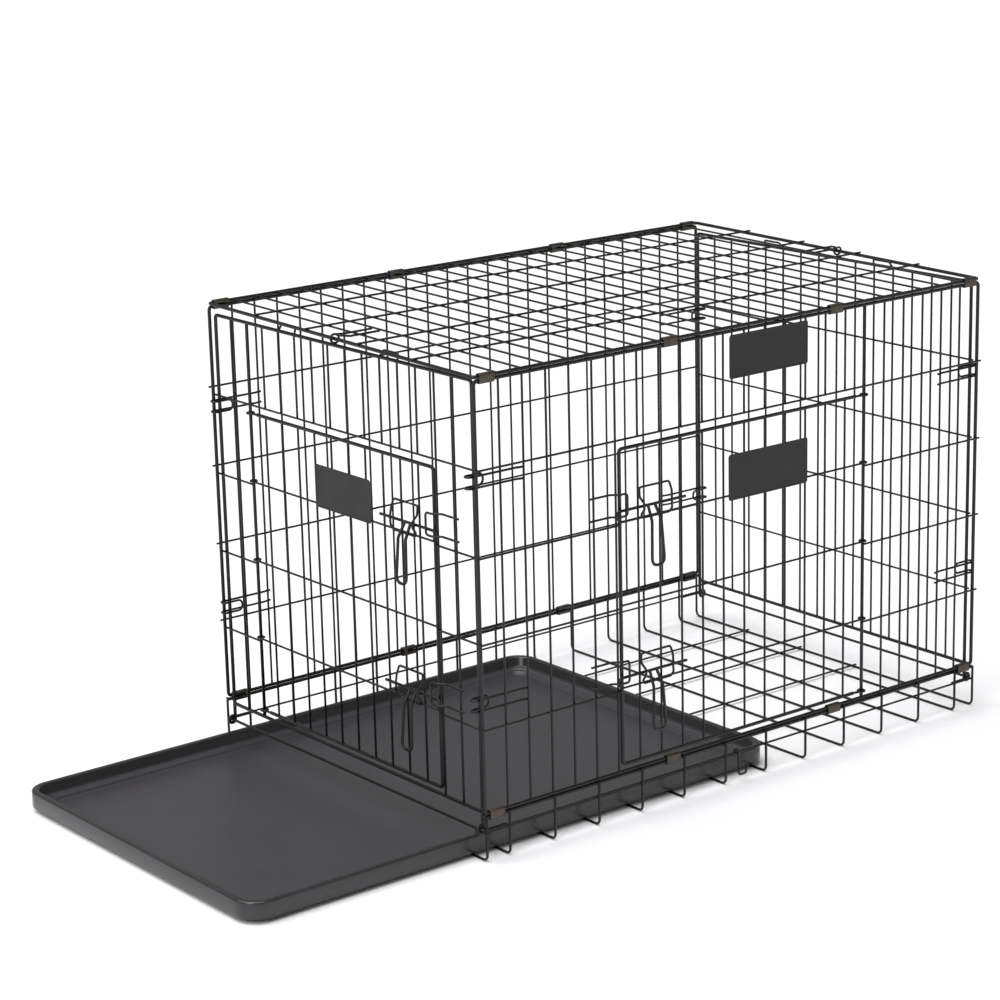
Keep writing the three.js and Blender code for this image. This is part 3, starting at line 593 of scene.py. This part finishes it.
def zinc_sheet():
    material, place_on_sheet = new_material("zinc_plated_sheet")
    spangle = add_node(material, "ShaderNodeTexVoronoi", {"Scale": per_mm(ZINC_SPANGLE)},
                       {"Vector": place_on_sheet})
    cloud = add_node(material, "ShaderNodeTexNoise", {"Scale": per_mm(18), "Detail": 5},
                     {"Vector": place_on_sheet})
    mixed = add_node(material, "ShaderNodeMath", {1: 0.6}, operation="MULTIPLY",
                     links={0: spangle.outputs["Distance"]})
    both = add_node(material, "ShaderNodeMath", operation="ADD",
                    links={0: mixed.outputs[0], 1: cloud.outputs["Fac"]})
    tint = add_node(material, "ShaderNodeMix", data_type="RGBA", links={"Factor": both.outputs[0]})
    tint.inputs[6].default_value = linear(ZINC_DARK)
    tint.inputs[7].default_value = linear(ZINC_LIGHT)
    gloss = add_node(material, "ShaderNodeMapRange", {"To Min": 0.38, "To Max": 0.6},
                     {"Value": cloud.outputs["Fac"]})
    bump = add_node(material, "ShaderNodeBump", {"Strength": 0.2, "Distance": 0.05 * MM},
                    {"Height": spangle.outputs["Distance"]})
    sheet = add_node(material, "ShaderNodeBsdfPrincipled", {"Metallic": 1.0},
                     {"Base Color": tint.outputs[2], "Roughness": gloss.outputs["Result"],
                      "Normal": bump.outputs["Normal"]})
    return finish_material(material, sheet)


ZINC_SHEET = zinc_sheet()


def clip_section():
    """The middle of the bent sheet as (towards the inside, up), from one lip round to the other."""
    across, tall, lip = 3.35, 6.05, 1.5
    corners = [(across, lip), (across, tall), (-across, tall),
               (-across, -tall), (across, -tall), (across, -lip)]
    return [(p.x, p.y) for p in rounded([Vector((a, b, 0)) for a, b in corners], 2, 4)]


def edge_clip(node, x, side, z):
    """The sheet's outline, offset half its thickness both ways and drawn out along the wires."""
    section = [Vector((a, b)) for a, b in clip_section()]
    outer, inner = [], []
    for i, point in enumerate(section):
        run = (section[min(i + 1, len(section) - 1)] - section[max(i - 1, 0)]).normalized()
        normal = Vector((-run.y, run.x)) * (CLIP_SHEET / 2)
        outer.append(point + normal)
        inner.append(point - normal)
    outline = outer + inner[::-1]
    mesh = bmesh.new()
    rings = []
    for place_along in (-0.5, 0.5):
        end = x + place_along * CLIP_LENGTH
        rings.append([mesh.verts.new(place(end, side * (SIDE - CLIP_IN - p.x), z + p.y)) for p in outline])
    for ring, following in zip(rings, rings[1:]):
        for k in range(len(outline)):
            m = (k + 1) % len(outline)
            mesh.faces.new((ring[k], ring[m], following[m], following[k])).smooth = True
    for ring in (rings[0], rings[-1]):
        count = len(section)
        for k in range(count - 1):
            mesh.faces.new((ring[k], ring[k + 1], ring[-k - 2], ring[-k - 1]))
    bmesh.ops.recalc_face_normals(mesh, faces=mesh.faces)
    piece = make_piece(f"{node}_sheet", [node], mesh, "crate", [ZINC_SHEET])
    edge = piece.modifiers.new("rolled_edge", "BEVEL")
    edge.width, edge.segments, edge.limit_method = 0.3 * MM, 2, "ANGLE"
    edge.angle_limit = math.radians(50)


CLIP_EDGES = {
    "front_bottom": (-1, FRONT_RIM + STACK / 2),
    "front_top": (-1, FRONT_FOOT + RISE + STACK / 2),
    "back_bottom": (1, BACK_RIM + STACK / 2),
    "back_top": (1, BACK_FOOT + RISE + STACK / 2),
}
for edge_name, (side, z) in CLIP_EDGES.items():
    for i, bay in enumerate(CLIP_BAYS, 1):
        edge_clip(f"{edge_name}_clip_{i}", (bay + 0.5) * LONG_BAY - LENGTH / 2, side, z)

# Plates: blank panels of thin steel sheet with rounded corners and a rolled edge, painted a flat black.
PLATE_BLACK, PLATE_WORN = "#0c0c0c", "#131313"
PLATE_SHEET = 1.2
PLATE_CORNER = 4
PLATE_OUT = 2.9


def flat_black():
    material, place_on_plate = new_material("flat_black_enamel")
    haze = add_node(material, "ShaderNodeTexNoise", {"Scale": per_mm(40), "Detail": 6, "Roughness": 0.6},
                    {"Vector": place_on_plate})
    tint = add_node(material, "ShaderNodeMix", data_type="RGBA", links={"Factor": haze.outputs["Fac"]})
    tint.inputs[6].default_value = linear(PLATE_BLACK)
    tint.inputs[7].default_value = linear(PLATE_WORN)
    gloss = add_node(material, "ShaderNodeMapRange", {"To Min": 0.45, "To Max": 0.65},
                     {"Value": haze.outputs["Fac"]})
    grain = add_node(material, "ShaderNodeTexNoise", {"Scale": per_mm(1.5), "Detail": 2},
                     {"Vector": place_on_plate})
    bump = add_node(material, "ShaderNodeBump", {"Strength": 0.2, "Distance": 0.05 * MM},
                    {"Height": grain.outputs["Fac"]})
    paint = add_node(material, "ShaderNodeBsdfPrincipled", {"IOR": 1.5},
                     {"Base Color": tint.outputs[2], "Roughness": gloss.outputs["Result"],
                      "Normal": bump.outputs["Normal"]})
    return finish_material(material, paint)


FLAT_BLACK = flat_black()


def corner_points(left, right, bottom, top, radius, steps):
    """A rounded rectangle's points, anticlockwise."""
    centres = [(right - radius, bottom + radius, -90), (right - radius, top - radius, 0),
               (left + radius, top - radius, 90), (left + radius, bottom + radius, 180)]
    points = []
    for x, y, start in centres:
        for i in range(steps + 1):
            turn = math.radians(start + 90 * i / steps)
            points.append((x + radius * math.cos(turn), y + radius * math.sin(turn)))
    return points


def loft(mesh, rings):
    """Skins a list of rings of points, and returns the rings of vertices."""
    made = [[mesh.verts.new(p) for p in ring] for ring in rings]
    for ring, following in zip(made, made[1:]):
        for k in range(len(ring)):
            m = (k + 1) % len(ring)
            mesh.faces.new((ring[k], ring[m], following[m], following[k])).smooth = True
    return made


def plate(node, body, stand, left, right, bottom, top):
    edge = 0.6                      # rounding of the back edge; the front one rolls over a little more
    levels = [(edge, 0), (0, edge), (0, PLATE_SHEET - 0.5), (0.5, PLATE_SHEET), (2.2, PLATE_SHEET),
              (2.8, PLATE_SHEET - 0.35)]
    rings = []
    for inset, out in levels:
        outline = corner_points(left + inset, right - inset, bottom + inset, top - inset,
                                PLATE_CORNER - inset, 5)
        rings.append([stand(a, b, PLATE_OUT + out) for a, b in outline])
    mesh = bmesh.new()
    made = loft(mesh, rings)
    mesh.faces.new(made[0][::-1])
    mesh.faces.new(made[-1])
    bmesh.ops.recalc_face_normals(mesh, faces=mesh.faces)
    make_piece(f"{node}_sheet", [node], mesh, body, [FLAT_BLACK])


third_rail = 3 * ROW_HEIGHT
plate("front_panel_plate", "crate", front, -31, 114, RISE - 64, RISE - 4)
plate("side_door_plate", "side_door", front, -33, 114, third_rail - 3, third_rail + 61)
plate("end_door_plate", "end_door", left_end, -53, 73, third_rail, third_rail + 60)

# Tray: vacuum-formed ABS sheet, dark grey. Its rim is raised and smooth, a ledge steps down inside it, and
# the floor has a fine pebble grain that hides scratches. The floor's upward faces are given a paler grey than
# the glossier rim: painted sheen.
# The floor grey, and the still paler scuff grey on the floor, are lighter than the rim to stand for the sheen
# off the pebbled floor: painted sheen. On the rim the floor grey marks scuffs.
TRAY_RIM, TRAY_FLOOR_SHEEN_AND_SCUFF, TRAY_SCUFF = "#1c1b1d", "#302e31", "#3d3b3e"
PEBBLE = 4              # mm between pebbles, coarser than the real 1.5 mm so that they show
SCUFF = 90


def tray_plastic(name, base, worn, smooth, rough, pebble_strength):
    material, place_on_tray = new_material(name)
    scuff = add_node(material, "ShaderNodeTexNoise", {"Scale": per_mm(SCUFF), "Detail": 6, "Roughness": 0.65},
                     {"Vector": place_on_tray})
    tint = add_node(material, "ShaderNodeMix", data_type="RGBA", links={"Factor": scuff.outputs["Fac"]})
    tint.inputs[6].default_value = linear(base)
    tint.inputs[7].default_value = linear(worn)
    gloss = add_node(material, "ShaderNodeMapRange", {"To Min": smooth, "To Max": rough},
                     {"Value": scuff.outputs["Fac"]})
    pebble = add_node(material, "ShaderNodeTexVoronoi", {"Scale": per_mm(PEBBLE)}, {"Vector": place_on_tray},
                      feature="SMOOTH_F1")
    bump = add_node(material, "ShaderNodeBump", {"Strength": pebble_strength, "Distance": 0.4 * MM},
                    {"Height": pebble.outputs["Distance"]})
    plastic = add_node(material, "ShaderNodeBsdfPrincipled", {"IOR": 1.53},
                       {"Base Color": tint.outputs[2], "Roughness": gloss.outputs["Result"],
                        "Normal": bump.outputs["Normal"]})
    return finish_material(material, plastic)


SMOOTH_ABS = tray_plastic("smooth_abs", TRAY_RIM, TRAY_FLOOR_SHEEN_AND_SCUFF, 0.2, 0.34, 0.05)
# The pebbled copy of the plastic is paler than the rim's: painted sheen on the tray's floor.
PEBBLED_ABS_PAINTED_SHEEN = tray_plastic("pebbled_abs_painted_sheen", TRAY_FLOOR_SHEEN_AND_SCUFF, TRAY_SCUFF, 0.3, 0.42, 0.4)

tray_low, tray_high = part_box("tray")
TRAY_LEVELS = [  # (inset from the outer wall, corner radius, height above the tray's underside), mm
    (2.0, 32, 0), (0.6, 33.4, 0.6), (0, 34, 2), (0, 34, 21.6), (0.7, 33.3, 23.3), (2.4, 31.6, 24),
    (7.8, 27.6, 24), (9.4, 26.4, 23.3), (10.2, 25.8, 21.8),
    (11.4, 25, 11), (12.2, 24.4, 9.6), (13.6, 23.6, 9.1),
    (18.2, 22.4, 9.1), (18.8, 22, 8.7), (19.4, 21.6, 7.9), (20.2, 21.2, 7.6), (24.8, 20.4, 7.6),
    (26, 20, 7), (27.2, 19.2, 4), (28.2, 18.6, 3.2), (30, 18, 3),
]
LEDGE_LEVEL = 12


def tray_ring(inset, radius, height):
    outline = corner_points(tray_low.x + inset * MM, tray_high.x - inset * MM, tray_low.y + inset * MM,
                            tray_high.y - inset * MM, radius * MM, 9)
    return [Vector((x, y, tray_low.z + height * MM)) for x, y in outline]


mesh = bmesh.new()
made = loft(mesh, [tray_ring(*level) for level in TRAY_LEVELS])
mesh.faces.new(made[0][::-1])
mesh.faces.new(made[-1])
bmesh.ops.recalc_face_normals(mesh, faces=mesh.faces)
ledge_height = tray_low.z + TRAY_LEVELS[LEDGE_LEVEL][2] * MM + 0.1 * MM
# Upward faces below the ledge take the paler pebbled plastic: painted sheen on the floor.
for face in mesh.faces:
    inside = all(v.co.z < ledge_height for v in face.verts) and face.normal.z > 0.3
    face.material_index = 1 if inside else 0
make_piece("tray_shell", ["tray"], mesh, "tray", [SMOOTH_ABS, PEBBLED_ABS_PAINTED_SHEEN])

# Room: a white floor under a dim even glow, a broad overhead light and a smaller lamp on the left.
FLOOR_WHITE = "#fbfafc"


def studio_floor():
    material, _ = new_material("studio_floor")
    paper = add_node(material, "ShaderNodeBsdfPrincipled",
                     {"Base Color": linear(FLOOR_WHITE), "Roughness": 0.9, "Specular IOR Level": 0.1})
    return finish_material(material, paper)


mesh = bmesh.new()
reach = 12
mesh.faces.new([mesh.verts.new((x, y, 0)) for x, y in ((-reach, -reach), (reach, -reach), (reach, reach),
                                                       (-reach, reach))])
data = bpy.data.meshes.new("floor")
mesh.to_mesh(data)
mesh.free()
data.materials.append(studio_floor())
floor = bpy.data.objects.new("floor", data)
bpy.context.scene.collection.objects.link(floor)

ROOM_GLOW, BACKDROP = 0.34, 1.05    # the room as the crate sees it, and as the camera does
world = bpy.data.worlds.new("bright_room")
world.use_nodes = True
backdrop = add_node(world, "ShaderNodeMapRange", {"To Min": ROOM_GLOW, "To Max": BACKDROP},
                    {"Value": add_node(world, "ShaderNodeLightPath").outputs["Is Camera Ray"]})
world.node_tree.links.new(backdrop.outputs["Result"], world.node_tree.nodes["Background"].inputs["Strength"])
world.node_tree.nodes["Background"].inputs["Color"].default_value = (1, 1, 1, 1)
bpy.context.scene.world = world
bpy.context.scene.view_settings.view_transform = "Standard"


def lamp(name, kind, position, energy, **settings):
    """A lamp that faces the middle of the crate."""
    data = bpy.data.lights.new(name, kind)
    data.energy = energy
    for setting, value in settings.items():
        setattr(data, setting, value)
    light = bpy.data.objects.new(name, data)
    light.location = position
    light.rotation_euler = (place(0, 0, 300) - position).to_track_quat("-Z", "Y").to_euler()
    bpy.context.scene.collection.objects.link(light)


lamp("overhead_light", "SUN", place(-900, 500, 4000), 2.6, angle=math.radians(60))
lamp("left_lamp", "AREA", place(-3200, -1400, 1900), 35, size=1.2)

# Camera: a long lens a little above the crate, turned towards the corner between the two doors.
CAMERA_AT = (-2596, -3068, 1425)
CAMERA_AIM = (-103.7, 102.4, 340)
CAMERA_ROLL = -1.40
LENS = 104.5
camera_data = bpy.data.cameras.new("camera")
camera_data.lens, camera_data.sensor_width = LENS, 36
camera_data.clip_end = 100
camera = bpy.data.objects.new("camera", camera_data)
looking = (place(*CAMERA_AIM) - place(*CAMERA_AT)).normalized()
upright_view = looking.to_track_quat("-Z", "Y").to_matrix()
camera.matrix_world = Matrix.Translation(place(*CAMERA_AT)) @ (
    upright_view @ Matrix.Rotation(math.radians(CAMERA_ROLL), 3, "Z")).to_4x4()
bpy.context.scene.collection.objects.link(camera)
bpy.context.scene.camera = camera
